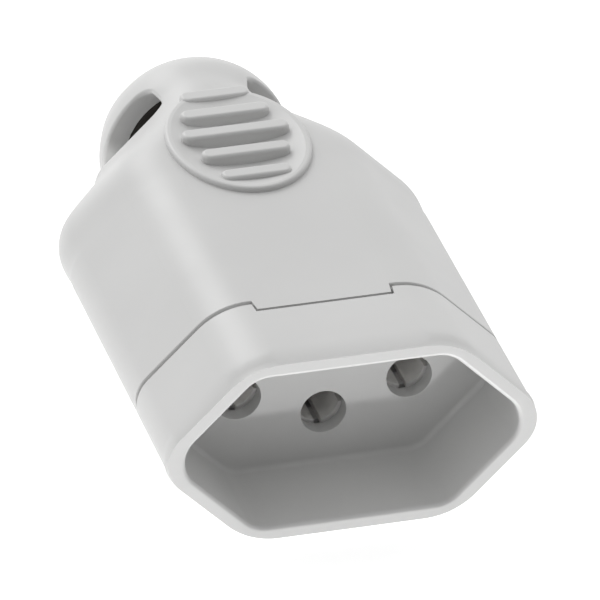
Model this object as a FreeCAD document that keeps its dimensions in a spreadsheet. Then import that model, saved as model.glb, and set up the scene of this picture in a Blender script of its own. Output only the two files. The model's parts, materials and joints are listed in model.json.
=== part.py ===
import FreeCAD, Part
import math
import os

import Sketcher

# Inline socket connector with a long hexagonal recess and three round pin holes.
# The connector's axis runs along Y: the mouth faces -Y and the cord enters at +Y.
# Z is the thickness, and X is the width, with the live and neutral holes side by side.
# In each outline below, y is measured from the front rim and x and z from the axis.

doc = FreeCAD.newDocument("inline_socket_connector")
sheet = doc.addObject("Spreadsheet::Sheet", "sheet")

DRIVING_SIZES = {
    # Pins and recess
    "pin_pitch": 19.0,
    "earth_offset": 3.0,
    "pin_hole_radius": 2.55,
    "pin_length": 19.0,
    "side_wall": 1.95,
    "broad_wall": 1.5,
    "recess_tip_radius": 3.5,
    "recess_edge_radius": 3.5,
    "recess_depth": 11.7,
    "floor_thickness": 1.95,
    "recess_lip_radius": 0.5,
    "recess_floor_radius": 0.6,
    # Outer section
    "tip_radius": 4.2,
    "edge_radius": 8.0,
    "slant": 45.0,
    "rim_flare": 0.4,
    "rim_band": 1.0,
    "rim_taper": 2.2,
    "rim_radius": 0.45,
    "shadow_gap": 0.2,
    "shadow_depth": 0.5,
    "seam_chamfer": 0.1,
    # Cover
    "wall": 1.6,
    "fit_gap": 0.2,
    "tab_length": 1.85,
    "tab_root_half_width": 7.6,
    "tab_tip_half_width": 7.4,
    "tab_depth": 1.2,
    "tab_gap": 0.12,
    "shoulder_lead": 2.6,
    "shoulder_length": 15.0,
    "shoulder_drop": 7.85,
    "window_lead": 1.5,
    "window_length": 4.5,
    "window_half_height": 8.6,
    "window_radius": 0.9,
    "window_edge_radius": 0.35,
    "neck_radius": 10.65,
    "neck_swell": 0.12,
    "neck_tip_relief": 0.2,
    "neck_edge_relief": 0.1,
    "neck_bore_radius": 8.3,
    "neck_straight": 0.6,
    "neck_dome_radius": 8.0,
    "neck_dome_length": 6.8,
    "end_wall": 2.4,
    "entry_radius": 5.6,
    "entry_lip": 0.8,
    # Grip pads
    "pad_shift": 1.0,
    "pad_half_length": 11.2,
    "pad_half_width": 7.8,
    "pad_rise": 0.6,
    "pad_root": 1.0,
    "pad_rim": 0.7,
    "pad_edge_radius": 0.35,
    "dish_depth": 1.15,
    "ridge_rise": 0.55,
    "ridge_crown": 0.09,
    "ridge_shift": 1.2,
    "ridge_half_length": 6.0,
    "ridge_shortening": 1.05,
    "ridge_width": 2.05,
    "ridge_pitch": 4.4,
    "ridge_corner_radius": 0.9,
    "ridge_edge_radius": 0.4,
    # Spigot and contact wells
    "spigot_length": 8.4,
    "spigot_wall": 1.4,
    "well_radius": 3.6,
    "well_wall": 1.5,
    "boss_radius": 1.9,
    "boss_edge": 1.95,
    "pilot_radius": 1.0,
    "pilot_depth": 7.0,
    # Contacts
    "contact_bore_radius": 2.35,
    "pin_reserve": 0.7,
    "contact_septum": 1.2,
    "contact_gap": 0.4,
    "sleeve_radius": 3.0,
    "barrel_radius": 3.9,
    "wire_hole_radius": 1.9,
    "wire_hole_depth": 6.4,
    "slot_width": 0.8,
    "slot_length": 7.0,
    "ring_thickness": 0.4,
    "ring_length": 2.5,
    "ring_opening": 1.2,
    "ring_setback": 1.2,
    "terminal_setback": 3.2,
    "terminal_screw_radius": 1.7,
    "terminal_head_radius": 2.3,
    "terminal_head_height": 1.8,
    "terminal_screw_lift": 0.5,
    # Carrier
    "flange": 2.5,
    "housing_wall": 1.1,
    "housing_gap": 0.12,
    "back_wall": 1.4,
    "cover_gap": 0.98,
    "wire_port_radius": 2.2,
    "access_radius": 2.6,
    "tail_thickness": 2.0,
    "tail_half_width": 5.6,
    "wiring_space": 8.08,
    "saddle_length": 6.2,
    "saddle_half_width": 10.4,
    "saddle_top": 2.0,
    "saddle_channel_radius": 5.3,
    "saddle_shoulder": -4.2,
    "latch_outside": 10.0,
    "latch_thickness": 1.4,
    "latch_half_height": 1.7,
    "latch_hook": 1.3,
    "latch_hook_length": 1.4,
    "latch_gap": 0.15,
    # Clamp and small screws
    "clamp_screw_offset": 7.3,
    "clamp_screw_radius": 1.45,
    "clamp_hole_radius": 1.7,
    "clamp_head_radius": 2.5,
    "clamp_head_height": 1.8,
    "clamp_bar_thickness": 2.4,
    "clamp_bar_gap": 0.3,
    "clamp_bar_corner": 2.4,
    "clamp_rib": 1.3,
    "clamp_rib_width": 1.8,
    "clamp_rib_half_length": 4.4,
    "clamp_screw_length": 9.4,
    "nut_width": 5.0,
    "nut_thickness": 1.8,
    "nut_gap": 0.1,
    "nut_drop": 4.6,
    "thread_gap": 0.05,
    "carrier_screw_radius": 0.95,
    "carrier_hole_radius": 1.2,
    "carrier_head_radius": 1.9,
    "carrier_head_height": 1.6,
    "carrier_head_gap": 0.08,
    "carrier_screw_length": 8.0,
    "driver_slot_width": 0.7,
    "driver_slot_depth": 0.8,
}

for row, (name, number) in enumerate(DRIVING_SIZES.items(), start=1):
    sheet.set(f"A{row}", name)
    sheet.set(f"B{row}", str(number))
    sheet.setAlias(f"B{row}", name)
doc.recompute()


class Size:
    """A length as a number and as the formula that binds it to the sheet."""

    def __init__(self, number, formula=None):
        self.number = float(number)
        self.formula = formula or repr(float(number))

    def joined(self, other, sign, result):
        return Size(result, f"({self.formula} {sign} {as_size(other).formula})")

    def __add__(self, other):
        return self.joined(other, "+", self.number + as_size(other).number)

    def __sub__(self, other):
        return self.joined(other, "-", self.number - as_size(other).number)

    def __mul__(self, other):
        return self.joined(other, "*", self.number * as_size(other).number)

    def __truediv__(self, other):
        return self.joined(other, "/", self.number / as_size(other).number)

    def __neg__(self):
        return self * -1


def as_size(value):
    return value if isinstance(value, Size) else Size(value)


def root(size):
    return Size(math.sqrt(size.number), f"sqrt({size.formula})")


SIZE = {name: Size(sheet.get(name), f"sheet.{name}") for name in DRIVING_SIZES}
ZERO = Size(0)


def bind(item, name, size):
    item.setExpression(name, as_size(size).formula)


def origin_feature(body, role):
    return next(item for item in body.Origin.OriginFeatures if item.Role == role)


def new_body(name):
    body = doc.addObject("PartDesign::Body", name)
    body.Label = name
    return body


# Sketches

SIDE_OF_NORMAL = {"XY_Plane": 1, "XZ_Plane": -1, "YZ_Plane": 1}


def new_sketch(body, plane, height):
    """An empty sketch on a plane parallel to one of the body's own, at a height along its axis."""
    sketch = body.newObject("Sketcher::SketchObject", "sketch")
    sketch.AttachmentSupport = [(origin_feature(body, plane), "")]
    sketch.MapMode = "FlatFace"
    bind(sketch, "AttachmentOffset.Base.z", as_size(height) * SIDE_OF_NORMAL[plane])
    return sketch


def constrain(sketch, kind, *arguments):
    return sketch.addConstraint(Sketcher.Constraint(kind, *arguments))


def drive(sketch, kind, arguments, size):
    """A dimension that follows the sheet."""
    size = as_size(size)
    index = constrain(sketch, kind, *arguments, size.number)
    bind(sketch, f"Constraints[{index}]", size)


def fix_point(sketch, geometry, vertex, first, second):
    for kind, size in (("DistanceX", first), ("DistanceY", second)):
        drive(sketch, kind, (-1, 1, geometry, vertex), size)


def add_circle(sketch, first, second, radius):
    first, second, radius = as_size(first), as_size(second), as_size(radius)
    centre = FreeCAD.Vector(first.number, second.number, 0)
    circle = sketch.addGeometry(Part.Circle(centre, FreeCAD.Vector(0, 0, 1), radius.number))
    drive(sketch, "Radius", (circle,), radius)
    fix_point(sketch, circle, 3, first, second)


def arc_between(start, end, radius, bulge):
    """An arc from start to end that bulges to the left (1) or to the right (-1) of the way."""
    chord = end - start
    middle = (start + end) * 0.5
    left = FreeCAD.Vector(-chord.y, chord.x, 0).normalize()
    half = chord.Length / 2
    sagitta = radius - math.sqrt(max(radius * radius - half * half, 0.0))
    return Part.Arc(start, middle + left * (bulge * sagitta), end)


def add_outline(sketch, points, arcs=None):
    """A closed outline through the points; arcs gives the radius and bulge of the edges that are round."""
    arcs = arcs or {}
    corners = [(as_size(first), as_size(second)) for first, second in points]
    places = [FreeCAD.Vector(first.number, second.number, 0) for first, second in corners]
    edges = []
    for index, start in enumerate(places):
        end = places[(index + 1) % len(places)]
        if index not in arcs:
            edges.append((sketch.addGeometry(Part.LineSegment(start, end)), 1, 2))
            continue
        radius, bulge = arcs[index]
        curve = arc_between(start, end, as_size(radius).number, bulge)
        added = sketch.addGeometry(curve)
        # An arc's own ends run anticlockwise, so one that bulges to the left runs against the way.
        ends = (1, 2) if bulge < 0 else (2, 1)
        edges.append((added, *ends))
        drive(sketch, "Radius", (added,), radius)
    for index, (edge, _, last) in enumerate(edges):
        following, first, _ = edges[(index + 1) % len(edges)]
        constrain(sketch, "Coincident", edge, last, following, first)
    for (edge, first, _), (across, up) in zip(edges, corners):
        fix_point(sketch, edge, first, across, up)


def add_rectangle(sketch, left, low, right, high):
    add_outline(sketch, [(left, low), (right, low), (right, high), (left, high)])


def add_rounded_rectangle(sketch, left, low, right, high, radius):
    add_outline(sketch, [
        (left + radius, low), (right - radius, low), (right, low + radius), (right, high - radius),
        (right - radius, high), (left + radius, high), (left, high - radius), (left, low + radius)],
        {1: (radius, -1), 3: (radius, -1), 5: (radius, -1), 7: (radius, -1)})


def add_section(sketch, half_width, half_height, tip_radius, edge_radius):
    """A long hexagon with slanted sides and rounded corners, its six flats joined by six arcs."""
    slant = SIZE["slant"]
    angle = math.radians(slant.number)
    tip, edge = tip_radius.number, edge_radius.number
    tip_centre = half_width.number - tip
    # The corner of the top flat and the slanted flat lies where their lines cross.
    sharp_width = tip_centre + tip / math.sin(angle)
    corner = sharp_width - half_height.number / math.tan(angle)
    cut = edge * math.tan(angle / 2)

    def at(across, up):
        return FreeCAD.Vector(across, up, 0)

    def around(centre_across, centre_up, radius, degrees):
        turn = math.radians(degrees)
        return at(centre_across + radius * math.cos(turn), centre_up + radius * math.sin(turn))

    def arc(centre_across, centre_up, radius, start, end):
        circle = Part.Circle(at(centre_across, centre_up), FreeCAD.Vector(0, 0, 1), radius)
        return Part.ArcOfCircle(circle, math.radians(start), math.radians(end))

    flat = corner - cut
    centre_up = half_height.number - edge
    tilt = 90 - slant.number
    pieces = [
        arc(tip_centre, 0, tip, -tilt, tilt),
        (around(tip_centre, 0, tip, tilt), around(flat, centre_up, edge, tilt)),
        arc(flat, centre_up, edge, tilt, 90),
        (at(flat, half_height.number), at(-flat, half_height.number)),
        arc(-flat, centre_up, edge, 90, 180 - tilt),
        (around(-flat, centre_up, edge, 180 - tilt), around(-tip_centre, 0, tip, 180 - tilt)),
        arc(-tip_centre, 0, tip, 180 - tilt, 180 + tilt),
        (around(-tip_centre, 0, tip, 180 + tilt), around(-flat, -centre_up, edge, 180 + tilt)),
        arc(-flat, -centre_up, edge, 180 + tilt, 270),
        (at(-flat, -half_height.number), at(flat, -half_height.number)),
        arc(flat, -centre_up, edge, 270, 360 - tilt),
        (around(flat, -centre_up, edge, -tilt), around(tip_centre, 0, tip, -tilt)),
    ]
    numbers = [sketch.addGeometry(Part.LineSegment(*piece) if isinstance(piece, tuple) else piece)
               for piece in pieces]
    count = len(numbers)
    for index in range(count):
        constrain(sketch, "Tangent", numbers[index], 2, numbers[(index + 1) % count], 1)
    right_tip, top_arc, left_tip = numbers[0], numbers[2], numbers[6]
    top, bottom = numbers[3], numbers[9]
    constrain(sketch, "Horizontal", top)
    constrain(sketch, "Horizontal", bottom)
    for index, turn in ((1, Size(180) - slant), (5, slant - 180), (7, -slant), (11, slant)):
        angle_number = constrain(sketch, "Angle", numbers[index], math.radians(turn.number))
        bind(sketch, f"Constraints[{angle_number}]", turn)
    drive(sketch, "Radius", (right_tip,), tip_radius)
    constrain(sketch, "Equal", right_tip, left_tip)
    drive(sketch, "Radius", (top_arc,), edge_radius)
    for index in (4, 8, 10):
        constrain(sketch, "Equal", top_arc, numbers[index])
    constrain(sketch, "PointOnObject", right_tip, 3, -1)
    drive(sketch, "DistanceX", (-1, 1, right_tip, 3), half_width - tip_radius)
    constrain(sketch, "Symmetric", right_tip, 3, left_tip, 3, -2)
    drive(sketch, "DistanceY", (-1, 1, top, 1), half_height)
    drive(sketch, "DistanceY", (-1, 1, bottom, 1), -half_height)


# Features

def new_feature(body, kind, sketch=None):
    feature = body.newObject(f"PartDesign::{kind}", kind.lower())
    if sketch is not None:
        feature.Profile = sketch
    return feature


def pad(body, sketch, length, forward=True):
    """Grow the sketch along the plane's own axis, or against it."""
    feature = new_feature(body, "Pad", sketch)
    bind(feature, "Length", length)
    feature.Reversed = forward == (side_of(sketch) < 0)
    return feature


def pocket(body, sketch, length, forward=True):
    feature = new_feature(body, "Pocket", sketch)
    bind(feature, "Length", length)
    feature.Reversed = forward == (side_of(sketch) > 0)
    return feature


def side_of(sketch):
    return SIDE_OF_NORMAL[sketch.AttachmentSupport[0][0].Role]


def turn(body, sketch, kind="Revolution"):
    """Turn the sketch round its own vertical axis."""
    feature = new_feature(body, kind, sketch)
    feature.ReferenceAxis = (sketch, ["V_Axis"])
    feature.Angle = 360
    return feature


def loft(body, sketches, kind="AdditiveLoft", ruled=False):
    feature = new_feature(body, kind, sketches[0])
    feature.Sections = sketches[1:]
    feature.Ruled = ruled
    return feature


def edges_where(shape, test):
    return [f"Edge{number}" for number, edge in enumerate(shape.Edges, start=1) if test(edge)]


def dress(body, kind, test, size):
    """Fillet or chamfer the edges of the newest shape that pass the test."""
    doc.recompute()
    base = body.Tip
    names = edges_where(base.Shape, test)
    if not names:
        raise RuntimeError(f"{body.Label}: no edge to dress with {kind}")
    feature = new_feature(body, kind)
    feature.Base = (base, names)
    bind(feature, "Radius" if kind == "Fillet" else "Size", size)
    return feature


def lies_at(edge, axis, place, slack=1e-4):
    box = edge.BoundBox
    low, high = getattr(box, f"{axis}Min"), getattr(box, f"{axis}Max")
    return abs(low - place.number) < slack and abs(high - place.number) < slack


# The outer section, from the contacts outwards

housing_radius = SIZE["barrel_radius"] + SIZE["housing_gap"] + SIZE["housing_wall"]
boss_offset = SIZE["pin_pitch"] / 2 + housing_radius + SIZE["carrier_head_gap"] + SIZE["carrier_head_radius"]
half_width = boss_offset + SIZE["boss_edge"] + SIZE["fit_gap"] + SIZE["wall"]
half_height = SIZE["earth_offset"] + housing_radius + SIZE["cover_gap"] + SIZE["wall"]
ridge_top = half_height + SIZE["pad_rise"] + SIZE["ridge_rise"]
tail_bottom = -(SIZE["earth_offset"] + housing_radius)

# Places along the axis, from the rim back

seam = SIZE["recess_depth"] + SIZE["floor_thickness"]
well_end = seam + SIZE["spigot_length"]
contact_bore_end = SIZE["recess_depth"] + SIZE["pin_length"] + SIZE["pin_reserve"]
contact_end = contact_bore_end + SIZE["contact_septum"] + SIZE["wire_hole_depth"]
terminal_position = contact_end - SIZE["terminal_setback"]
carrier_back = contact_end + SIZE["housing_gap"] + SIZE["back_wall"]
saddle_start = carrier_back + SIZE["wiring_space"]
shoulder_start = saddle_start - SIZE["shoulder_lead"]
shoulder_end = shoulder_start + SIZE["shoulder_length"]
window_start = shoulder_end - SIZE["window_lead"]
neck_start = window_start + SIZE["window_length"]
dome_start = neck_start + SIZE["neck_straight"]
overall_length = dome_start + SIZE["neck_dome_length"]
pad_centre = shoulder_start + SIZE["pad_shift"]
PINS = {
    "live": (-(SIZE["pin_pitch"] / 2), ZERO),
    "neutral": (SIZE["pin_pitch"] / 2, ZERO),
    "earth": (ZERO, -SIZE["earth_offset"]),
}


def place(body, across=ZERO, along=ZERO, up=ZERO, rotation=None):
    """Stand the piece on the ground with the connector's middle over the origin."""
    if rotation is not None:
        body.Placement = FreeCAD.Placement(FreeCAD.Vector(), rotation)
    bind(body, "Placement.Base.x", across)
    bind(body, "Placement.Base.y", along - overall_length / 2)
    bind(body, "Placement.Base.z", up + ridge_top)


def outer_section(body, along, inset=ZERO, drop=ZERO):
    """The body's own section at a distance from the rim, inset by a wall and narrowed by a drop."""
    sketch = new_sketch(body, "XZ_Plane", along)
    add_section(sketch, half_width - inset - drop, half_height - inset,
                SIZE["tip_radius"] - inset, SIZE["edge_radius"] - inset)
    return sketch


def shoulder_sections(body, inset):
    """Sections along the shoulders, whose sides draw in along an S-shaped curve."""
    sketches = [outer_section(body, shoulder_start - lead, inset)
                for lead in (SIZE["shoulder_length"] / 3, SIZE["shoulder_length"] / 6)]
    for step in range(SHOULDER_STEPS + 1):
        share = step / SHOULDER_STEPS
        drawn_in = share * share * (3 - 2 * share)
        along = shoulder_start + SIZE["shoulder_length"] * share
        sketches.append(outer_section(body, along, inset, SIZE["shoulder_drop"] * drawn_in))
    return sketches


SHOULDER_STEPS = 6
lead_in = shoulder_start - SIZE["shoulder_length"] / 3


# The front moulding

def make_socket_front():
    body = new_body("socket_front")
    collar_end = seam - SIZE["shadow_gap"]
    pad(body, outer_section(body, ZERO), collar_end)
    dress(body, "Chamfer", lambda edge: lies_at(edge, "Y", collar_end), SIZE["seam_chamfer"])
    pad(body, outer_section(body, collar_end, SIZE["shadow_depth"]), SIZE["shadow_gap"])
    pad(body, outer_section(body, ZERO, -SIZE["rim_flare"]), SIZE["rim_band"])
    flare_end = SIZE["rim_band"] + SIZE["rim_taper"]
    loft(body, [outer_section(body, SIZE["rim_band"], -SIZE["rim_flare"]),
                outer_section(body, flare_end)], ruled=True)
    dress(body, "Fillet", lambda edge: lies_at(edge, "Y", ZERO), SIZE["rim_radius"])

    recess = new_sketch(body, "XZ_Plane", ZERO)
    add_section(recess, half_width - SIZE["side_wall"], half_height - SIZE["broad_wall"],
                SIZE["recess_tip_radius"], SIZE["recess_edge_radius"])
    pocket(body, recess, SIZE["recess_depth"])
    dress(body, "Fillet", lambda edge: lies_at(edge, "Y", SIZE["recess_depth"]),
          SIZE["recess_floor_radius"])
    dress(body, "Fillet", lambda edge: lies_at(edge, "Y", ZERO) and within_recess(edge),
          SIZE["recess_lip_radius"])

    cut_tab_notches(body)

    spigot = outer_section(body, seam, SIZE["wall"] + SIZE["fit_gap"])
    inset = SIZE["wall"] + SIZE["fit_gap"] + SIZE["spigot_wall"]
    add_section(spigot, half_width - inset, half_height - inset,
                SIZE["tip_radius"] - SIZE["wall"] - SIZE["fit_gap"], SIZE["edge_radius"] - inset)
    pad(body, spigot, SIZE["spigot_length"])
    pad_each(body, seam, SIZE["well_radius"] + SIZE["well_wall"], PINS.values(), SIZE["spigot_length"])
    pad(body, circles(body, seam, SIZE["boss_radius"], SCREW_PLACES), SIZE["spigot_length"])

    pocket(body, circles(body, seam, SIZE["well_radius"], PINS.values()), SIZE["spigot_length"])
    pocket(body, circles(body, well_end - SIZE["pilot_depth"], SIZE["pilot_radius"], SCREW_PLACES),
           SIZE["pilot_depth"])
    pocket(body, circles(body, SIZE["recess_depth"], SIZE["pin_hole_radius"], PINS.values()),
           SIZE["floor_thickness"])
    place(body)
    return body


SCREW_PLACES = [(-boss_offset, ZERO), (boss_offset, ZERO)]


def circles(body, along, radius, places):
    sketch = new_sketch(body, "XZ_Plane", along)
    for across, up in places:
        add_circle(sketch, across, up, radius)
    return sketch


def pad_each(body, along, radius, places, length):
    """Round bosses that may run into one another, each with a sketch of its own."""
    for spot in places:
        pad(body, circles(body, along, radius, [spot]), length)


def within_recess(edge):
    box = edge.BoundBox
    return box.ZMax < (half_height - SIZE["broad_wall"] / 2).number


def cut_tab_notches(body):
    """A notch in each broad face of the collar takes the cover's tab."""
    root = SIZE["tab_root_half_width"] + SIZE["tab_gap"]
    tip = SIZE["tab_tip_half_width"] + SIZE["tab_gap"]
    front = seam - SIZE["tab_length"]
    for side in (1, -1):
        floor = (half_height - SIZE["tab_depth"]) * side
        sketch = new_sketch(body, "XY_Plane", floor)
        add_outline(sketch, [(-tip, front), (tip, front), (root, seam), (-root, seam)])
        pocket(body, sketch, SIZE["tab_depth"], forward=side > 0)


# The cover

def make_rear_cover():
    body = new_body("rear_cover")
    pad(body, outer_section(body, seam), lead_in - seam)
    dress(body, "Chamfer", lambda edge: lies_at(edge, "Y", seam), SIZE["seam_chamfer"])
    for side in (1, -1):
        add_tab(body, side)
    loft(body, shoulder_sections(body, ZERO) + neck_sections(body))
    cut_windows(body)
    dress(body, "Fillet", is_window_edge, SIZE["window_edge_radius"])
    for side in (1, -1):
        add_grip_pad(body, side)
    dress(body, "Fillet", is_ridge_edge, SIZE["ridge_edge_radius"])

    pocket(body, outer_section(body, seam, SIZE["wall"]), lead_in - seam)
    loft(body, shoulder_sections(body, SIZE["wall"]), "SubtractiveLoft")
    turn(body, bore_outline(body), "Groove")
    dress(body, "Fillet", is_entry_edge, SIZE["entry_lip"])
    place(body)
    return body


def add_tab(body, side):
    sketch = new_sketch(body, "XY_Plane", (half_height - SIZE["tab_depth"] + SIZE["tab_gap"]) * side)
    front = seam - SIZE["tab_length"] + SIZE["tab_gap"]
    root, tip = SIZE["tab_root_half_width"], SIZE["tab_tip_half_width"]
    behind = seam + SIZE["wall"]
    add_outline(sketch, [(-tip, front), (tip, front), (root, seam), (root, behind), (-root, behind), (-root, seam)])
    pad(body, sketch, SIZE["tab_depth"] - SIZE["tab_gap"], forward=side > 0)


def blunt_section(body, along, radius):
    """A section whose corners are so blunt that it is all but round."""
    sketch = new_sketch(body, "XZ_Plane", along)
    add_section(sketch, radius + SIZE["neck_swell"], radius,
                radius - SIZE["neck_tip_relief"], radius - SIZE["neck_edge_relief"])
    return sketch


def neck_sections(body):
    """Sections along the neck: a straight band, then a dome down to the cable entry."""
    sketches = [blunt_section(body, along, SIZE["neck_radius"]) for along in (neck_start, dome_start)]
    curve = SIZE["neck_dome_radius"]
    for step in range(1, DOME_STEPS + 1):
        lead = SIZE["neck_dome_length"] * (step / DOME_STEPS)
        drawn_in = curve - root(curve * curve - lead * lead)
        sketches.append(blunt_section(body, dome_start + lead, SIZE["neck_radius"] - drawn_in))
    return sketches


DOME_STEPS = 4


def bore_outline(body):
    sketch = new_sketch(body, "XY_Plane", ZERO)
    bore, entry = SIZE["neck_bore_radius"], SIZE["entry_radius"]
    inner_end = overall_length - SIZE["end_wall"]
    start = shoulder_end - SIZE["wall"]
    add_outline(sketch, [(ZERO, start), (bore, start), (bore, dome_start), (entry, inner_end),
                         (entry, overall_length), (ZERO, overall_length)])
    return sketch


def is_window_edge(edge):
    """An edge round the mouth of a window, on one side of the neck."""
    box = edge.BoundBox
    slack = SIZE["window_radius"].number / 2
    within = box.YMin > window_start.number - slack and box.YMax < neck_start.number + slack
    return within and box.XMin * box.XMax > 0 and box.ZLength < SIZE["window_half_height"].number * 2 + slack


def is_entry_edge(edge):
    point = edge.Vertexes[0].Point
    from_axis = math.hypot(point.x, point.z)
    return lies_at(edge, "Y", overall_length) and from_axis < SIZE["entry_radius"].number * 1.1


def cut_windows(body):
    """A window on each side, cut straight through in front of the neck."""
    sketch = new_sketch(body, "YZ_Plane", half_width)
    high = SIZE["window_half_height"]
    add_rounded_rectangle(sketch, window_start, -high, neck_start, high, SIZE["window_radius"])
    pocket(body, sketch, half_width * 2, forward=False)


def add_grip_pad(body, side):
    """A raised oval with a shallow dish, crossed by five ridges."""
    root = half_height - SIZE["pad_root"]
    oval = new_sketch(body, "XY_Plane", root * side)
    add_oval(oval, pad_centre, SIZE["pad_half_length"], SIZE["pad_half_width"])
    pad(body, oval, SIZE["pad_root"] + SIZE["pad_rise"], forward=side > 0)
    dress(body, "Fillet", lambda edge: lies_at(edge, "Z", (half_height + SIZE["pad_rise"]) * side),
          SIZE["pad_edge_radius"])

    hollow = body.newObject("PartDesign::Groove", "groove")
    hollow.Profile, hollow.ReferenceAxis = dish_outline(body, side)
    hollow.Angle = 360

    half = SIZE["ridge_width"] / 2
    for steps in RIDGE_PAIRS:
        ridges = new_sketch(body, "XY_Plane", root * side)
        for step in steps:
            middle = pad_centre + SIZE["ridge_shift"] + SIZE["ridge_pitch"] * step
            reach = SIZE["ridge_half_length"] - SIZE["ridge_shortening"] * abs(step)
            add_rounded_rectangle(ridges, -reach, middle - half, reach, middle + half,
                                  SIZE["ridge_corner_radius"])
        height = ridge_height(steps[0]) - root
        pad(body, ridges, height, forward=side > 0)


def ridge_height(step):
    """How high over the axis the top of a ridge lies: those away from the middle one lie lower."""
    return ridge_top - SIZE["ridge_crown"] * step * step


def add_oval(sketch, along, half_length, half_width):
    centre = FreeCAD.Vector(0, along.number, 0)
    end = centre + FreeCAD.Vector(0, half_length.number, 0)
    flank = centre + FreeCAD.Vector(half_width.number, 0, 0)
    ellipse = sketch.addGeometry(Part.Ellipse(end, flank, centre))
    sketch.exposeInternalGeometry(ellipse)
    long_axis, short_axis = ellipse + 1, ellipse + 2
    constrain(sketch, "Vertical", long_axis)
    drive(sketch, "Distance", (long_axis,), half_length * 2)
    drive(sketch, "Distance", (short_axis,), half_width * 2)
    fix_point(sketch, ellipse, 3, ZERO, along)


def dish_outline(body, side):
    """The sliver between the pad's top and the dish's floor, with the axis that it turns about."""
    sketch = new_sketch(body, "YZ_Plane", ZERO)
    top = (half_height + SIZE["pad_rise"]) * side
    depth = SIZE["dish_depth"]
    reach_along = SIZE["pad_half_length"] - SIZE["pad_rim"]
    reach_across = SIZE["pad_half_width"] - SIZE["pad_rim"]
    floor_radius = chord_radius(reach_along, depth)
    axis_height = top + (chord_radius(reach_across, depth) - depth) * side
    front, back = pad_centre - reach_along, pad_centre + reach_along
    axis = sketch.addGeometry(Part.LineSegment(FreeCAD.Vector(front.number, axis_height.number, 0),
                                               FreeCAD.Vector(back.number, axis_height.number, 0)), True)
    constrain(sketch, "Horizontal", axis)
    fix_point(sketch, axis, 1, front, axis_height)
    drive(sketch, "DistanceX", (-1, 1, axis, 2), back)
    add_outline(sketch, [(front, top), (back, top)], {0: (floor_radius, -side)})
    return sketch, (sketch, ["Axis0"])


def chord_radius(half_chord, depth):
    """The radius of the arc that is as deep as the depth in the middle of the chord."""
    return (half_chord * half_chord + depth * depth) / (depth * 2)


def is_ridge_edge(edge):
    """An edge round the top of a ridge, on either broad face."""
    return any(lies_at(edge, "Z", ridge_height(steps[0]) * side) for steps in RIDGE_PAIRS for side in (1, -1))


RIDGE_PAIRS = [(0,), (-1, 1), (-2, 2)]


# The contacts

def make_contact(pole):
    """A turned contact: a slit sleeve for the pin, and a barrel with the wire's hole and its screw's."""
    body = new_body(f"{pole}_contact")
    sleeve_start = seam + SIZE["contact_gap"]
    turned = new_sketch(body, "XY_Plane", ZERO)
    bore, sleeve, barrel = SIZE["contact_bore_radius"], SIZE["sleeve_radius"], SIZE["barrel_radius"]
    shoulder = well_end + SIZE["housing_gap"]
    wire = SIZE["wire_hole_radius"]
    wire_start = contact_end - SIZE["wire_hole_depth"]
    add_outline(turned, [
        (bore, sleeve_start), (sleeve, sleeve_start), (sleeve, shoulder), (barrel, shoulder),
        (barrel, contact_end), (wire, contact_end), (wire, wire_start),
        (ZERO, wire_start), (ZERO, contact_bore_end), (bore, contact_bore_end)])
    turn(body, turned)

    slots = new_sketch(body, "XZ_Plane", sleeve_start)
    half_slot, reach = SIZE["slot_width"] / 2, sleeve + SIZE["slot_width"]
    add_rectangle(slots, -half_slot, -reach, half_slot, reach)
    pocket(body, slots, SIZE["slot_length"])
    crossing = new_sketch(body, "XZ_Plane", sleeve_start)
    add_rectangle(crossing, -reach, -half_slot, reach, half_slot)
    pocket(body, crossing, SIZE["slot_length"])

    tapping = new_sketch(body, "XY_Plane", ZERO)
    add_circle(tapping, ZERO, terminal_position, SIZE["terminal_screw_radius"] + SIZE["thread_gap"])
    pocket(body, tapping, barrel, forward=True)
    place(body, *at_pin(pole))
    return body


def at_pin(pole):
    across, up = PINS[pole]
    return across, ZERO, up


def make_spring_ring(pole):
    """An open ring that squeezes the slit sleeve."""
    body = new_body(f"{pole}_spring_ring")
    start = seam + SIZE["contact_gap"] + SIZE["ring_setback"]
    sketch = new_sketch(body, "XZ_Plane", start)
    outer = SIZE["sleeve_radius"] + SIZE["ring_thickness"]
    add_circle(sketch, ZERO, ZERO, outer)
    add_circle(sketch, ZERO, ZERO, SIZE["sleeve_radius"])
    pad(body, sketch, SIZE["ring_length"])
    gap = new_sketch(body, "XZ_Plane", start)
    half = SIZE["ring_opening"] / 2
    add_rectangle(gap, -half, ZERO, half, outer + SIZE["ring_thickness"])
    pocket(body, gap, SIZE["ring_length"])
    place(body, *at_pin(pole))
    return body


# The carrier behind the front

def make_terminal_carrier():
    body = new_body("terminal_carrier")
    flange_end = well_end + SIZE["flange"]
    bore = SIZE["barrel_radius"] + SIZE["housing_gap"]
    pad(body, outer_section(body, well_end, SIZE["wall"] + SIZE["fit_gap"]), SIZE["flange"])
    pad_each(body, well_end, housing_radius, PINS.values(), carrier_back - well_end)

    add_tail(body, flange_end)
    add_latch_arms(body)
    add_saddle(body)

    pocket(body, circles(body, well_end, bore, PINS.values()),
           contact_end + SIZE["housing_gap"] - well_end)
    pocket(body, circles(body, contact_end, SIZE["wire_port_radius"], PINS.values()),
           carrier_back - contact_end)
    pocket(body, circles(body, well_end, SIZE["carrier_hole_radius"], SCREW_PLACES), SIZE["flange"])
    for pole, (across, up) in PINS.items():
        access = new_sketch(body, "XY_Plane", up)
        add_circle(access, across, terminal_position, SIZE["access_radius"])
        pocket(body, access, half_height, forward=True)
    place(body)
    return body


def add_tail(body, start):
    sketch = new_sketch(body, "XY_Plane", tail_bottom)
    half = SIZE["tail_half_width"]
    add_rectangle(sketch, -half, start, half, saddle_start + SIZE["saddle_length"])
    pad(body, sketch, SIZE["tail_thickness"])


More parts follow.
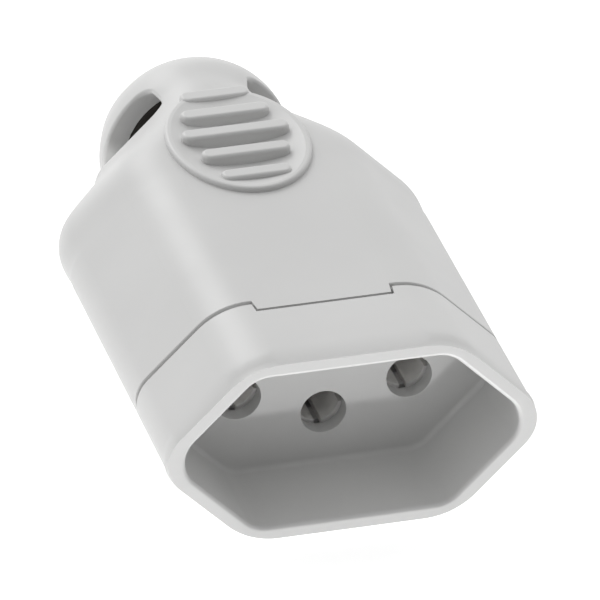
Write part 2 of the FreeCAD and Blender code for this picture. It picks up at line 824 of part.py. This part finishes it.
def add_saddle(body):
    """A block with a round channel for the cord, its lower corners cut to clear the cover."""
    sketch = new_sketch(body, "XZ_Plane", saddle_start)
    half, foot = SIZE["saddle_half_width"], SIZE["tail_half_width"]
    top, shoulder, channel = SIZE["saddle_top"], SIZE["saddle_shoulder"], SIZE["saddle_channel_radius"]
    add_outline(sketch, [(-foot, tail_bottom), (foot, tail_bottom), (half, shoulder), (half, top),
                         (-half, top), (-half, shoulder)])
    pad(body, sketch, SIZE["saddle_length"])
    pocket(body, circles(body, saddle_start, channel, [(ZERO, ZERO)]), SIZE["saddle_length"])
    mouth = new_sketch(body, "XZ_Plane", saddle_start)
    add_rectangle(mouth, -channel, ZERO, channel, top + SIZE["clamp_bar_gap"])
    pocket(body, mouth, SIZE["saddle_length"])
    shanks = new_sketch(body, "XY_Plane", SIZE["saddle_top"])
    for side in (1, -1):
        add_circle(shanks, SIZE["clamp_screw_offset"] * side, clamp_middle, SIZE["clamp_hole_radius"])
    pocket(body, shanks, SIZE["saddle_top"] - tail_bottom, forward=False)
    nuts = new_sketch(body, "XY_Plane", nut_top)
    for side in (1, -1):
        reach = SIZE["nut_width"] / 2 + SIZE["nut_gap"]
        middle = SIZE["clamp_screw_offset"] * side
        add_rectangle(nuts, middle - reach, clamp_middle - reach, middle + reach, clamp_middle + reach)
    pocket(body, nuts, nut_top - tail_bottom, forward=False)


clamp_middle = saddle_start + SIZE["saddle_length"] / 2
nut_top = SIZE["saddle_top"] - SIZE["nut_drop"]


def add_latch_arms(body):
    """Two springy arms whose hooks catch the front edge of the cover's windows."""
    start = saddle_start + SIZE["saddle_length"] / 2
    hook_start = window_start + SIZE["latch_gap"]
    hook_end = hook_start + SIZE["latch_hook_length"]
    outside, inside = SIZE["latch_outside"], SIZE["latch_outside"] - SIZE["latch_thickness"]
    for side in (1, -1):
        sketch = new_sketch(body, "XY_Plane", -SIZE["latch_half_height"])
        add_outline(sketch, [
            (inside * side, start), (SIZE["saddle_half_width"] * side, start), (outside * side, hook_start),
            ((outside + SIZE["latch_hook"]) * side, hook_start), (outside * side, hook_end),
            (inside * side, hook_end)])
        pad(body, sketch, SIZE["latch_half_height"] * 2)


# Screws, nuts and the clamp bar

def make_screw(name, head_radius, head_height, shank_radius, shank_length):
    """A slotted screw that points down from its head's seat, which is at its own origin."""
    body = new_body(name)
    turned = new_sketch(body, "XZ_Plane", ZERO)
    tip = shank_radius / 2
    add_outline(turned, [
        (ZERO, -shank_length), (shank_radius - tip, -shank_length), (shank_radius, tip - shank_length),
        (shank_radius, ZERO), (head_radius, ZERO), (head_radius, head_height), (ZERO, head_height)])
    turn(body, turned)
    slot = new_sketch(body, "XY_Plane", head_height)
    half = SIZE["driver_slot_width"] / 2
    add_rectangle(slot, -head_radius * 2, -half, head_radius * 2, half)
    pocket(body, slot, SIZE["driver_slot_depth"], forward=False)
    return body


def make_terminal_screw(pole):
    across, up = PINS[pole]
    seat = SIZE["barrel_radius"] + SIZE["terminal_screw_lift"]
    body = make_screw(f"{pole}_terminal_screw", SIZE["terminal_head_radius"], SIZE["terminal_head_height"],
                      SIZE["terminal_screw_radius"], seat)
    place(body, across, terminal_position, up + seat)
    return body


def make_carrier_screw(hand, side):
    body = make_screw(f"carrier_screw_{hand}", SIZE["carrier_head_radius"], SIZE["carrier_head_height"],
                      SIZE["carrier_screw_radius"], SIZE["carrier_screw_length"])
    facing_back = FreeCAD.Rotation(FreeCAD.Vector(1, 0, 0), -90)
    place(body, boss_offset * side, well_end + SIZE["flange"], ZERO, facing_back)
    return body


bar_bottom = SIZE["saddle_top"] + SIZE["clamp_bar_gap"]


def make_clamp_screw(hand, side):
    body = make_screw(f"cord_clamp_screw_{hand}", SIZE["clamp_head_radius"], SIZE["clamp_head_height"],
                      SIZE["clamp_screw_radius"], SIZE["clamp_screw_length"])
    place(body, SIZE["clamp_screw_offset"] * side, clamp_middle, bar_bottom + SIZE["clamp_bar_thickness"])
    return body


def make_clamp_bar():
    body = new_body("cord_clamp_bar")
    sketch = new_sketch(body, "XY_Plane", bar_bottom)
    reach, half = SIZE["saddle_half_width"], SIZE["saddle_length"] / 2
    add_rectangle(sketch, -reach, clamp_middle - half, reach, clamp_middle + half)
    for side in (1, -1):
        add_circle(sketch, SIZE["clamp_screw_offset"] * side, clamp_middle, SIZE["clamp_hole_radius"])
    pad(body, sketch, SIZE["clamp_bar_thickness"])
    dress(body, "Fillet", is_upright, SIZE["clamp_bar_corner"])
    rib = new_sketch(body, "XZ_Plane", clamp_middle - SIZE["clamp_rib_width"] / 2)
    half_rib = SIZE["clamp_rib_half_length"]
    add_rectangle(rib, -half_rib, bar_bottom - SIZE["clamp_rib"], half_rib,
                  bar_bottom + SIZE["clamp_bar_thickness"] / 2)
    pad(body, rib, SIZE["clamp_rib_width"])
    place(body)
    return body


def is_upright(edge):
    """A straight edge that runs along Z."""
    box = edge.BoundBox
    return edge.Curve.TypeId == "Part::GeomLine" and box.XLength + box.YLength < 1e-6


def make_clamp_nut(hand, side):
    body = new_body(f"cord_clamp_nut_{hand}")
    sketch = new_sketch(body, "XY_Plane", nut_top)
    reach = SIZE["nut_width"] / 2
    middle = SIZE["clamp_screw_offset"] * side
    add_rectangle(sketch, middle - reach, clamp_middle - reach, middle + reach, clamp_middle + reach)
    add_circle(sketch, middle, clamp_middle, SIZE["clamp_screw_radius"] + SIZE["thread_gap"])
    pad(body, sketch, SIZE["nut_thickness"], forward=False)
    place(body)
    return body


# The whole connector

pieces = [make_socket_front(), make_rear_cover(), make_terminal_carrier()]
for pole in PINS:
    pieces += [make_contact(pole), make_spring_ring(pole), make_terminal_screw(pole)]
for hand, side in (("left", -1), ("right", 1)):
    pieces += [make_carrier_screw(hand, side), make_clamp_screw(hand, side), make_clamp_nut(hand, side)]
pieces.append(make_clamp_bar())
doc.recompute()

faulty = [item.Name for item in doc.Objects if {"Invalid", "Error"} & set(item.State)]
faulty += [piece.Label for piece in pieces if piece.Shape.isNull() or not piece.Shape.isValid()]
faulty += [piece.Label for piece in pieces if len(piece.Shape.Solids) != 1]
if faulty:
    raise RuntimeError(f"failed: {faulty}")

os.makedirs("parts", exist_ok=True)
for piece in pieces:
    piece.Shape.exportStep(f"parts/{piece.Label}.step")
    print(piece.Label, round(piece.Shape.Volume, 1), len(piece.Shape.Faces))
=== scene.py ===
import json
import math

import bmesh
import bpy
from mathutils import Matrix, Quaternion, Vector
from mathutils.geometry import convex_hull_2d, intersect_point_line


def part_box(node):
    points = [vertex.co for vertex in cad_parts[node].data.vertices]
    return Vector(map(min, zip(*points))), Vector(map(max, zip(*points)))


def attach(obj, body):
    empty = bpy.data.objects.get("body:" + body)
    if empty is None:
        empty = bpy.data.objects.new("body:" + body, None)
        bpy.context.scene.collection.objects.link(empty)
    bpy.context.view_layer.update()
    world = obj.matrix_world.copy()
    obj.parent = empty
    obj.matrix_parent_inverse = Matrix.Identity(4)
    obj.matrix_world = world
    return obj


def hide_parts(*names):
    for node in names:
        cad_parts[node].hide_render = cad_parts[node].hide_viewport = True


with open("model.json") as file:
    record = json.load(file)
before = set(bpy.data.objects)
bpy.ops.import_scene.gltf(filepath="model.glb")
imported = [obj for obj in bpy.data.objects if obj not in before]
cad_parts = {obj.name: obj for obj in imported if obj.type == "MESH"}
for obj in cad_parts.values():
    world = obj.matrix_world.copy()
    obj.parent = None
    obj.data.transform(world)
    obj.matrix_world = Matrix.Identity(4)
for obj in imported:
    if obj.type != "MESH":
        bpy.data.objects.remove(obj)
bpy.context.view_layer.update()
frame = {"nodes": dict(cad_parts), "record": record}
nodes = frame["nodes"]

# An inline socket connector on a white table. Its axis runs along Y, with the mouth towards -Y and the cord's
# entry towards +Y. Lengths are in metres.

MM = 0.001
MERGE_DISTANCE = 0.001 * MM
SHARP_ANGLE = math.radians(35)

# Camera, where the photograph was taken from

AZIMUTH = math.radians(-16.26)
ELEVATION = math.radians(31.18)
ROLL = math.radians(1.02)
CAMERA_DISTANCE = 1200 * MM
NEAREST_SEEN = 0.1
FARTHEST_SEEN = 10
SENSOR_WIDTH = 36.0

# The picture in pixels: its side, its scale at the mouth, and where the middle of the mouth lies from its top
# left corner
PICTURE_SIDE = 600
PIXELS_PER_MM = 9.42
MOUTH_ACROSS = 353.4
MOUTH_DOWN = 442.38


def mouth_centre():
    """The axis of the connector where it meets the plane of the front rim."""
    low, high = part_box("socket_front")
    return Vector(((low.x + high.x) / 2, low.y, (low.z + high.z) / 2))


def camera_view():
    """The way from the mouth to the camera, and the turn of a camera that looks straight back along it."""
    back = Vector((math.sin(AZIMUTH) * math.cos(ELEVATION), -math.cos(AZIMUTH) * math.cos(ELEVATION),
                   math.sin(ELEVATION)))
    right = Vector((math.cos(AZIMUTH), math.sin(AZIMUTH), 0))
    up = back.cross(right)
    return back, Matrix((right, up, back)).transposed().to_quaternion()


def add_camera():
    """A long lens, aimed so that the mouth lies where the photograph has it."""
    back, upright = camera_view()
    focal = PIXELS_PER_MM * CAMERA_DISTANCE / MM
    middle = PICTURE_SIDE / 2
    towards_mouth = Vector((MOUTH_ACROSS - middle, middle - MOUTH_DOWN, -focal)).normalized()
    aim = towards_mouth.rotation_difference(Vector((0, 0, -1)))
    data = bpy.data.cameras.new("camera")
    data.sensor_width = SENSOR_WIDTH
    data.lens = focal / PICTURE_SIDE * SENSOR_WIDTH
    data.clip_start = NEAREST_SEEN
    data.clip_end = FARTHEST_SEEN
    camera = bpy.data.objects.new("camera", data)
    camera.rotation_mode = "QUATERNION"
    camera.location = mouth_centre() + back * CAMERA_DISTANCE
    camera.rotation_quaternion = upright @ Quaternion((0, 0, 1), ROLL) @ aim
    bpy.context.scene.collection.objects.link(camera)
    bpy.context.scene.camera = camera


# Shader nodes

def set_inputs(node, values):
    """The values of inputs that nothing is linked to."""
    for name, value in values.items():
        node.inputs[name].default_value = value


def new_material(name):
    """A material with its node tree and its shader."""
    material = bpy.data.materials.new(name)
    material.use_nodes = True
    tree = material.node_tree
    return material, tree, tree.nodes["Principled BSDF"]


def add_noise(tree, place, scale, detail):
    """A noise pattern over the places that an output gives."""
    pattern = tree.nodes.new("ShaderNodeTexNoise")
    set_inputs(pattern, {"Scale": scale, "Detail": detail})
    tree.links.new(place, pattern.inputs["Vector"])
    return pattern.outputs["Fac"]


def vary_roughness(tree, shader, pattern, lowest, highest):
    """The surface is smoother and rougher as the pattern goes."""
    gloss = tree.nodes.new("ShaderNodeMapRange")
    set_inputs(gloss, {"To Min": lowest, "To Max": highest})
    tree.links.new(pattern, gloss.inputs["Value"])
    tree.links.new(gloss.outputs["Result"], shader.inputs["Roughness"])


def add_bump(tree, shader, pattern, strength, distance):
    """The pattern shades the surface as if it rose and fell with it."""
    bump = tree.nodes.new("ShaderNodeBump")
    set_inputs(bump, {"Strength": strength, "Distance": distance})
    tree.links.new(pattern, bump.inputs["Height"])
    tree.links.new(bump.outputs["Normal"], shader.inputs["Normal"])


# Surroundings, floor and lights

# The room's radiance in front and behind, and the directions' Y between which it grows
FRONT_RADIANCE = 0.15
BACK_RADIANCE = 1.15
GROWTH_START = -0.9
GROWTH_END = 0.4

# The table's own light, as the connector gets it and as the camera sees it
FLOOR_GLOW = 0.3
FLOOR_WHITENESS = 0.55
FLOOR_SIDE = 20
FLOOR_ROUGHNESS = 0.9
FLOOR_SPECULAR = 0.1
WHITE = (1, 1, 1, 1)
PALE = (0.8, 0.8, 0.8, 1)

# Each light's direction from the mouth, its distance and width in metres, and its power in watts. The last
# three shine up through the table, as light that it gives back.
LIGHTS = {
    "softbox": ((-0.19, 0.82, 0.54), 1.2, 0.5, 3),
    "table_light": ((0, -0.848, -0.53), 0.6, 0.04, 0.62),
    "lip_light": ((0, -0.5, -0.87), 0.6, 0.1, 1.7),
    "left_light": ((-0.72, -0.05, -0.69), 0.6, 0.1, 0.8),
}


def add_surroundings():
    """White walls and ceiling that grow dim in front, and nothing below the horizon."""
    world = bpy.data.worlds.new("studio")
    world.use_nodes = True
    tree = world.node_tree
    place = tree.nodes.new("ShaderNodeTexCoord")
    split = tree.nodes.new("ShaderNodeSeparateXYZ")
    tree.links.new(place.outputs["Generated"], split.inputs["Vector"])
    depth = tree.nodes.new("ShaderNodeMapRange")
    set_inputs(depth, {"From Min": GROWTH_START, "From Max": GROWTH_END, "To Min": FRONT_RADIANCE,
                       "To Max": BACK_RADIANCE})
    tree.links.new(split.outputs["Y"], depth.inputs["Value"])
    above = tree.nodes.new("ShaderNodeMath")
    above.operation = "GREATER_THAN"
    above.inputs[1].default_value = 0
    tree.links.new(split.outputs["Z"], above.inputs[0])
    product = tree.nodes.new("ShaderNodeMath")
    product.operation = "MULTIPLY"
    tree.links.new(depth.outputs["Result"], product.inputs[0])
    tree.links.new(above.outputs["Value"], product.inputs[1])
    background = tree.nodes["Background"]
    set_inputs(background, {"Color": WHITE})
    tree.links.new(product.outputs["Value"], background.inputs["Strength"])
    bpy.context.scene.world = world


def add_floor():
    """A white table, brighter to the camera than to the connector. The lights below it shine through."""
    bpy.ops.mesh.primitive_plane_add(size=FLOOR_SIDE)
    floor = bpy.context.object
    floor.name = "floor"
    floor.visible_shadow = False
    material, tree, shader = new_material("pale_floor")
    set_inputs(shader, {"Base Color": PALE, "Emission Color": WHITE, "Roughness": FLOOR_ROUGHNESS,
                        "Specular IOR Level": FLOOR_SPECULAR})
    ray = tree.nodes.new("ShaderNodeLightPath")
    glow = tree.nodes.new("ShaderNodeMapRange")
    set_inputs(glow, {"To Min": FLOOR_GLOW, "To Max": FLOOR_WHITENESS})
    tree.links.new(ray.outputs["Is Camera Ray"], glow.inputs["Value"])
    tree.links.new(glow.outputs["Result"], shader.inputs["Emission Strength"])
    floor.data.materials.append(material)


def add_area_light(name, towards, distance, width, power):
    """A round light that shines on the connector from a direction."""
    data = bpy.data.lights.new(name, "AREA")
    data.shape = "DISK"
    data.size = width
    data.energy = power
    light = bpy.data.objects.new(name, data)
    direction = Vector(towards).normalized()
    light.location = mouth_centre() + direction * distance
    light.rotation_mode = "QUATERNION"
    light.rotation_quaternion = direction.to_track_quat("Z", "Y")
    bpy.context.scene.collection.objects.link(light)


# Finishes

# Noise patterns, each as its scale and detail
PLASTIC_CLOUD = 60, 3
PLASTIC_SHEEN = 140, 2
PLASTIC_GRAIN = 4500, 4
METAL_MARKS = 1, 3

# How far the plastic's colour and roughness vary
DARKEST = 0.975
LIGHTEST = 1.02
CLOUD_START = 0.3
CLOUD_END = 0.7
SHEEN_CHANGE = 0.05
GRAIN_STRENGTH = 0.12
GRAIN_DEPTH = 0.02 * MM
PLASTIC_SPECULAR = 0.4

# The metal's marks lie close together along Y, and make it smoother or rougher
MARK_STRETCH = (300, 6000, 300)
MARK_STRENGTH = 0.2
MARK_DEPTH = 0.01 * MM
MARK_SMOOTHER = 0.08
MARK_ROUGHER = 0.12


def moulded_plastic(name, colour, roughness):
    """Satin moulded plastic: a fine spark-eroded grain, a faint cloudiness and a slow change of gloss."""
    material, tree, shader = new_material(name)
    place = tree.nodes.new("ShaderNodeTexCoord").outputs["Object"]
    shade = tree.nodes.new("ShaderNodeValToRGB")
    low, high = shade.color_ramp.elements
    low.position, high.position = CLOUD_START, CLOUD_END
    low.color = (*[channel * DARKEST for channel in colour], 1)
    high.color = (*[channel * LIGHTEST for channel in colour], 1)
    tree.links.new(add_noise(tree, place, *PLASTIC_CLOUD), shade.inputs["Fac"])
    tree.links.new(shade.outputs["Color"], shader.inputs["Base Color"])
    vary_roughness(tree, shader, add_noise(tree, place, *PLASTIC_SHEEN), roughness - SHEEN_CHANGE,
                   roughness + SHEEN_CHANGE)
    add_bump(tree, shader, add_noise(tree, place, *PLASTIC_GRAIN), GRAIN_STRENGTH, GRAIN_DEPTH)
    set_inputs(shader, {"Specular IOR Level": PLASTIC_SPECULAR})
    return material


def turned_metal(name, colour, roughness, metallic):
    """Turned or drawn metal with fine tool marks."""
    material, tree, shader = new_material(name)
    set_inputs(shader, {"Base Color": (*colour, 1), "Metallic": metallic})
    place = tree.nodes.new("ShaderNodeTexCoord").outputs["Object"]
    stretch = tree.nodes.new("ShaderNodeMapping")
    set_inputs(stretch, {"Scale": MARK_STRETCH})
    tree.links.new(place, stretch.inputs["Vector"])
    marks = add_noise(tree, stretch.outputs["Vector"], *METAL_MARKS)
    vary_roughness(tree, shader, marks, roughness - MARK_SMOOTHER, roughness + MARK_ROUGHER)
    add_bump(tree, shader, marks, MARK_STRENGTH, MARK_DEPTH)
    return material


def make_finishes():
    """A material for each slot, and the seal's rubber, whose darkness is partly painted shade. The brass is
    plated, so it looks pale and grey; its colour is also raised nearly to white, and the spring steel's is
    lightened, as painted light that brightens the shaded pin holes.
    """
    return {
        "front_plastic": moulded_plastic("front_plastic", (0.62, 0.62, 0.615), roughness=0.42),
        "cover_plastic": moulded_plastic("cover_plastic", (0.62, 0.62, 0.615), roughness=0.42),
        "carrier_plastic": moulded_plastic("carrier_plastic", (0.62, 0.61, 0.59), roughness=0.55),
        # Partly painted shade: the seal is dark rubber, and its darkness stands in for the shade deep in the
        # neck that the windows show.
        "seal_rubber_and_painted_shade": moulded_plastic("seal_rubber_and_painted_shade", (0.035, 0.03, 0.026), roughness=0.65),
        # Partly painted light: plated brass is pale, and its colour is raised nearly to white so that the
        # shaded pin holes read lighter.
        "contact_brass": turned_metal("contact_brass", (0.97, 0.96, 0.94), roughness=0.6, metallic=0.05),
        # Partly painted light: the spring steel is made lighter and less metallic than bare steel, so that
        # the shaded slit in the middle hole reads lighter.
        "spring_steel": turned_metal("spring_steel", (0.8, 0.8, 0.8), roughness=0.45, metallic=0.4),
        "screw_steel": turned_metal("screw_steel", (0.62, 0.62, 0.6), roughness=0.32, metallic=1),
    }


def dress_nodes(finishes):
    """Each node gets the finish of its slot."""
    for part in frame["record"]["subparts"]:
        materials = nodes[part["node"]].data.materials
        materials.clear()
        materials.append(finishes[part["material_slot"]])


# New pieces

def copied_solid(name):
    """A bmesh of a node with its loose triangles joined."""
    solid = bmesh.new()
    solid.from_mesh(nodes[name].data)
    bmesh.ops.remove_doubles(solid, verts=solid.verts, dist=MERGE_DISTANCE)
    return solid


def add_piece(name, solid, material):
    """A bmesh becomes a smooth piece with crisp edges that rides with the rest."""
    mesh = bpy.data.meshes.new(name)
    solid.to_mesh(mesh)
    solid.free()
    if "custom_normal" in mesh.attributes:
        mesh.attributes.remove(mesh.attributes["custom_normal"])
    mesh.polygons.foreach_set("use_smooth", [True] * len(mesh.polygons))
    mesh.set_sharp_from_angle(angle=SHARP_ANGLE)
    mesh.materials.append(material)
    piece = bpy.data.objects.new(name, mesh)
    bpy.context.scene.collection.objects.link(piece)
    even = piece.modifiers.new("even_shading", "WEIGHTED_NORMAL")
    even.keep_sharp = True
    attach(piece, "root")
    return piece


# The front shell: the front moulding with a crowned collar, a crisp lip and an open seam

# Places along the connector are measured back from the rim. A skin is how deep inside the collar's outline a
# vertex may lie and still move.

OUTLINE_PLACE = 6 * MM

# The lip: a rounded edge at the rim, which keeps a share of its depth, then a band with a low crown, then the
# full crown, which is highest on the broad faces and fades out towards the tips.
LIP_EDGE = 0.46 * MM
LIP_EDGE_KEPT = 0.35
LIP_BAND = 1.1 * MM
LIP_BAND_CROWN = 0.15 * MM
LIP_DEPTH = 3.3 * MM
LIP_CROWN = 0.34 * MM
LIP_SKIN = 0.02 * MM
BROAD_FACE_END = 12 * MM

# The seam: the collar's end draws back from the cover. An edge's vertices lie within SEAM_EDGE of its place.
SEAM_PLACE = 13.65 * MM
SEAM_EDGE = 0.32 * MM
SEAM_SKIN = 0.6 * MM
SEAM_OPENING = 0.32 * MM

# The notch in each broad face draws back from the cover's tab, at its floor and at its sides
NOTCH_PLACE = 11.8 * MM
NOTCH_SIDE = 7.4 * MM
NOTCH_SIDE_END = 7.85 * MM
NOTCH_SKIN = 1.3 * MM
NOTCH_OPENING = 0.3 * MM
NOTCH_SIDE_OPENING = 0.1 * MM


def collar_outline(rim):
    """The outline of the collar between the lip and the seam, as points across and up."""
    solid = copied_solid("socket_front")
    cut = bmesh.ops.bisect_plane(solid, geom=solid.verts[:] + solid.edges[:] + solid.faces[:],
                                 plane_co=(0, rim + OUTLINE_PLACE, 0), plane_no=(0, 1, 0))
    corners = [item.co for item in cut["geom_cut"] if isinstance(item, bmesh.types.BMVert)]
    points = [Vector((corner.x, corner.z)) for corner in corners]
    solid.free()
    return [points[index] for index in convex_hull_2d(points)]


def nearest_on_outline(outline, point):
    """The nearest point of the outline, the way outwards there, and how far outside it the point lies."""
    best, outward, distance, inside = None, None, math.inf, True
    for start, end in zip(outline, outline[1:] + outline[:1]):
        spot, share = intersect_point_line(point, start, end)
        spot = start.lerp(end, min(max(share, 0), 1)).to_2d()
        if (point - spot).length < distance:
            best, distance = spot, (point - spot).length
            outward = Vector((end.y - start.y, start.x - end.x)).normalized()
        if (end - start).cross(point - start) < 0:
            inside = False
    return best, outward, -distance if inside else distance


def shape_lip(vertex, along, nearest, outward, half_width):
    """The collar is crowned over its last few millimetres and ends in a crisp edge."""
    if along < LIP_EDGE:
        height = 0
        vertex.co.y -= along * (1 - LIP_EDGE_KEPT)
    elif along < LIP_BAND:
        height = LIP_BAND_CROWN
    else:
        towards_tip = (abs(nearest.x) - BROAD_FACE_END) / (half_width - BROAD_FACE_END)
        height = LIP_CROWN * (1 - min(max(towards_tip, 0), 1))
    vertex.co.x, vertex.co.z = nearest + outward * height


def open_seam(vertex, along, outside):
    """The collar's end and the notch for the tab draw back from the cover."""
    across = abs(vertex.co.x)
    if SEAM_PLACE - SEAM_EDGE < along < SEAM_PLACE - SEAM_EDGE / 2 and outside > -SEAM_SKIN:
        vertex.co.y -= SEAM_OPENING
    if NOTCH_SIDE < across < NOTCH_SIDE_END and along > NOTCH_PLACE - SEAM_EDGE and outside > -NOTCH_SKIN:
        vertex.co.x += math.copysign(NOTCH_SIDE_OPENING, vertex.co.x)
        if along < NOTCH_PLACE + SEAM_EDGE:
            vertex.co.y -= NOTCH_OPENING


def make_front_shell(material):
    """A copy of the front moulding whose collar is reshaped, in place of the node."""
    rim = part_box("socket_front")[0].y
    outline = collar_outline(rim)
    half_width = max(point.x for point in outline)
    solid = copied_solid("socket_front")
    for vertex in solid.verts:
        along = vertex.co.y - rim
        nearest, outward, outside = nearest_on_outline(outline, Vector((vertex.co.x, vertex.co.z)))
        if along < LIP_DEPTH and outside > -LIP_SKIN:
            shape_lip(vertex, along, nearest, outward, half_width)
        elif along < SEAM_PLACE:
            open_seam(vertex, along, outside)
    piece = add_piece("front_shell", solid, material)
    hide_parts("socket_front")


# The cord seal: a soft ring that centres the cord in the neck. Its near-black rubber is partly painted shade,
# standing in for the shade deep in the neck that the windows show.

# Its section in millimetres, as the distance from the axis and the place along Y: a flange, then a sleeve
SEAL_SECTION = [(3.4, 28.6), (3.6, 28.4), (8.05, 28.4), (8.2, 28.55), (8.2, 29.4), (8.05, 29.55), (5.7, 29.9),
                (5.45, 30.2), (5.45, 34.9), (5.2, 35.1), (3.7, 35.1), (3.4, 34.8)]
SEAL_STEPS = 96


def make_cord_seal(material):
    """The section turned once round the connector's axis."""
    centre = mouth_centre()
    seal = bmesh.new()
    ring = [seal.verts.new((radius * MM, along * MM, centre.z)) for radius, along in SEAL_SECTION]
    edges = [seal.edges.new((start, end)) for start, end in zip(ring, ring[1:] + ring[:1])]
    bmesh.ops.spin(seal, geom=ring + edges, cent=centre, axis=(0, 1, 0), angle=2 * math.pi, steps=SEAL_STEPS,
                   use_merge=True)
    bmesh.ops.remove_doubles(seal, verts=seal.verts, dist=MERGE_DISTANCE)
    bmesh.ops.recalc_face_normals(seal, faces=seal.faces)
    add_piece("cord_seal", seal, material)


finishes = make_finishes()
dress_nodes(finishes)
make_front_shell(finishes["front_plastic"])
make_cord_seal(finishes["seal_rubber_and_painted_shade"])
add_floor()
add_camera()
add_surroundings()
for name, placing in LIGHTS.items():
    add_area_light(name, *placing)
bpy.context.scene.view_settings.view_transform = "Standard"
